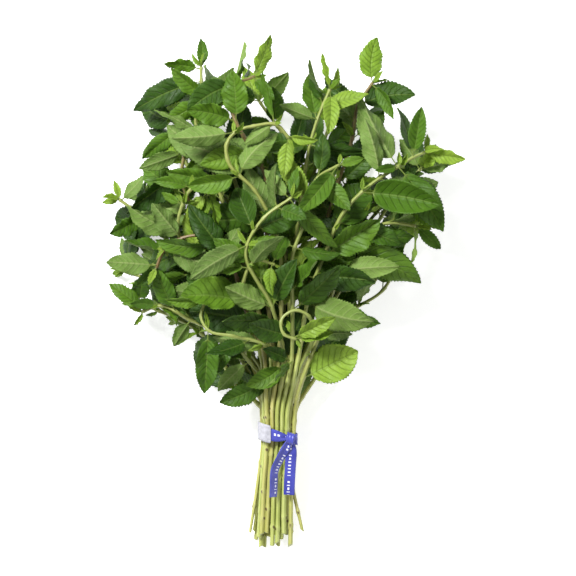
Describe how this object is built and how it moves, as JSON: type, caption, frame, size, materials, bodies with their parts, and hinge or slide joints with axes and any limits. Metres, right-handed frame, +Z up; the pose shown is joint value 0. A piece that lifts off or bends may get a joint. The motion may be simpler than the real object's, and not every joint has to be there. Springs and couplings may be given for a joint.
{
  "type": "herb bunch",
  "caption": "Fresh mint tied in a bunch, lying down: square stems with pairs of toothed leaves, held by a knotted ribbon with two tails and a paper tag.",
  "frame": {"origin": "middle of the bunch's footprint, on the surface it lies on", "axes": "+Y from the cut ends to the leafy tips, +Z up from the surface, +X across the bunch"},
  "size_m": [0.2506, 0.3602, 0.1049],
  "materials": {
    "leaf": "satin green leaf, darker above and paler below, with raised veins",
    "ribbon": null,
    "tag": "matte white paper"
  },
  "bodies": {
    "root": {"sprig_01": "leaf", "sprig_02": "leaf", "sprig_03": "leaf", "sprig_04": "leaf", "sprig_05": "leaf", "sprig_06": "leaf", "sprig_07": "leaf", "sprig_08": "leaf", "sprig_09": "leaf", "sprig_10": "leaf", "sprig_11": "leaf", "sprig_12": "leaf", "sprig_13": "leaf", "sprig_14": "leaf", "sprig_15": "leaf", "sprig_16": "leaf", "sprig_17": "leaf", "sprig_18": "leaf", "sprig_19": "leaf", "sprig_20": "leaf", "sprig_21": "leaf", "sprig_22": "leaf", "sprig_23": "leaf", "sprig_24": "leaf", "sprig_25": "leaf", "sprig_26": "leaf", "sprig_27": "leaf", "sprig_28": "leaf", "sprig_29": "leaf", "sprig_30": "leaf", "sprig_31": "leaf", "sprig_32": "leaf", "ribbon_tie": "ribbon", "paper_tag": "tag"}
  },
  "joints": []
}
